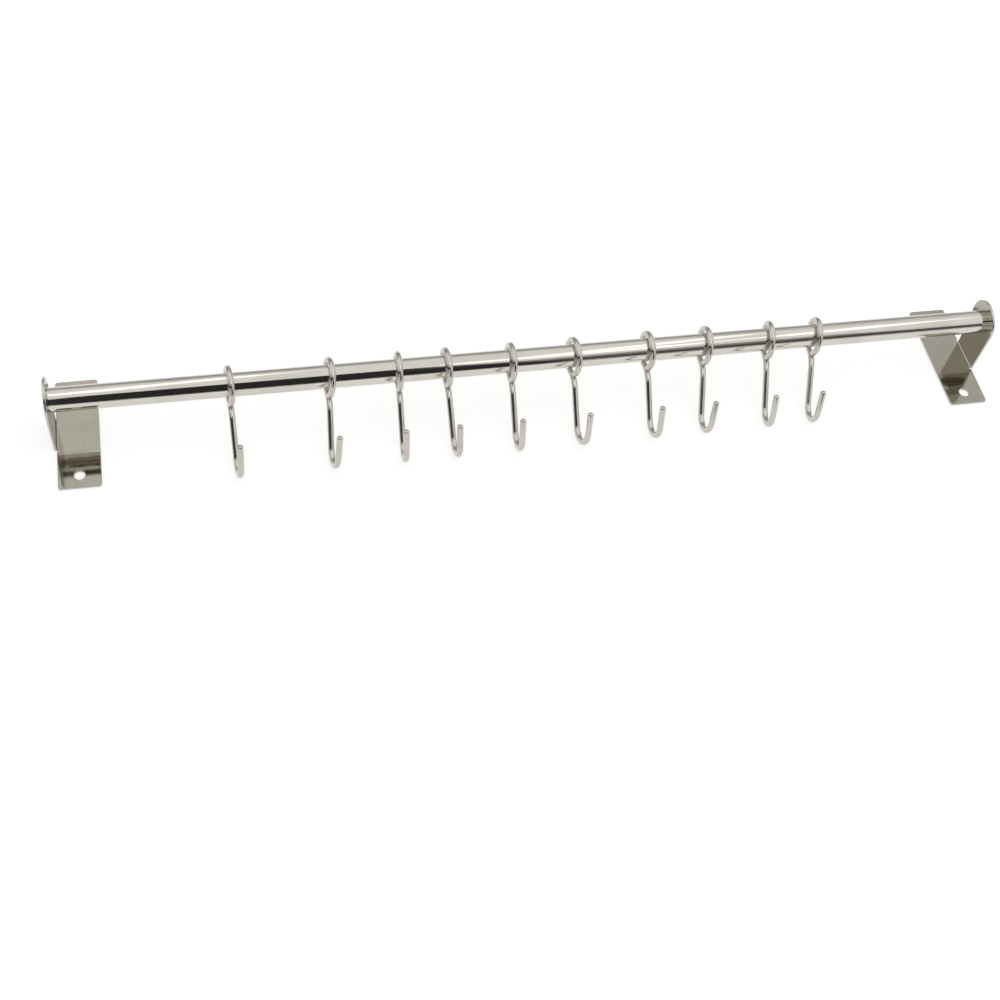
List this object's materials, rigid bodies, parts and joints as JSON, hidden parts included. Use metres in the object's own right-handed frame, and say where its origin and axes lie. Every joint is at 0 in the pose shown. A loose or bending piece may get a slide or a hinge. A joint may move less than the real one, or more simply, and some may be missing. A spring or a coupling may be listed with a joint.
{
  "type": "kitchen utensil rail",
  "caption": "Polished steel tube on two folded wall brackets with screw holes, carrying bent-wire hooks that swing on it, for hanging kitchen utensils.",
  "frame": {"origin": "on the wall plane, in the middle of the four wall screw holes", "axes": "+Z out of the wall, +X along the tube, +Y up the wall. The rail is stored as it lies on its two wall plates, so the wall is the plane it rests on"},
  "size_m": [0.6466, 0.0988, 0.0525],
  "materials": {
    "tube_steel": "mirror-polished stainless steel",
    "bracket_steel": "finely polished stainless sheet with faint rolling lines",
    "hook_steel": "mirror-polished stainless wire"
  },
  "bodies": {
    "rail": {"rail_tube": "tube_steel", "left_bracket": "bracket_steel", "right_bracket": "bracket_steel"},
    "hook_01": {"hook_01": "hook_steel"},
    "hook_02": {"hook_02": "hook_steel"},
    "hook_03": {"hook_03": "hook_steel"},
    "hook_04": {"hook_04": "hook_steel"},
    "hook_05": {"hook_05": "hook_steel"},
    "hook_06": {"hook_06": "hook_steel"},
    "hook_07": {"hook_07": "hook_steel"},
    "hook_08": {"hook_08": "hook_steel"},
    "hook_09": {"hook_09": "hook_steel"},
    "hook_10": {"hook_10": "hook_steel"}
  },
  "joints": [
    {"name": "hook_01_swing", "type": "hinge", "parent": "rail", "child": "hook_01", "pos_m": [-0.2082, 0, 0.0363], "axis": [-0.9949, -0.0676, 0.0751], "range_deg": [0, 225]},
    {"name": "hook_02_swing", "type": "hinge", "parent": "rail", "child": "hook_02", "pos_m": [-0.1435, 0, 0.0363], "axis": [-0.9895, -0.0472, 0.1368], "range_deg": [0, 225]},
    {"name": "hook_03_swing", "type": "hinge", "parent": "rail", "child": "hook_03", "pos_m": [-0.0976, 0, 0.0363], "axis": [-0.9994, 0.0332, -0.0039], "range_deg": [0, 225]},
    {"name": "hook_04_swing", "type": "hinge", "parent": "rail", "child": "hook_04", "pos_m": [-0.0653, 0, 0.0363], "axis": [-0.9991, -0.0379, 0.0169], "range_deg": [0, 225]},
    {"name": "hook_05_swing", "type": "hinge", "parent": "rail", "child": "hook_05", "pos_m": [-0.0214, 0, 0.0363], "axis": [-0.9999, 0.0029, 0.0143], "range_deg": [0, 225]},
    {"name": "hook_06_swing", "type": "hinge", "parent": "rail", "child": "hook_06", "pos_m": [0.0217, 0, 0.0363], "axis": [-0.9927, -0.0665, 0.1009], "range_deg": [0, 225]},
    {"name": "hook_07_swing", "type": "hinge", "parent": "rail", "child": "hook_07", "pos_m": [0.0737, 0, 0.0363], "axis": [-0.9984, -0.0124, 0.0545], "range_deg": [0, 225]},
    {"name": "hook_08_swing", "type": "hinge", "parent": "rail", "child": "hook_08", "pos_m": [0.1146, 0, 0.0363], "axis": [-0.9936, 0.0527, 0.0996], "range_deg": [0, 225]},
    {"name": "hook_09_swing", "type": "hinge", "parent": "rail", "child": "hook_09", "pos_m": [0.1606, 0, 0.0363], "axis": [-0.9909, 0.1346, -0.0026], "range_deg": [0, 225]},
    {"name": "hook_10_swing", "type": "hinge", "parent": "rail", "child": "hook_10", "pos_m": [0.1947, 0, 0.0363], "axis": [-0.9892, 0.1311, 0.0648], "range_deg": [0, 225]}
  ]
}
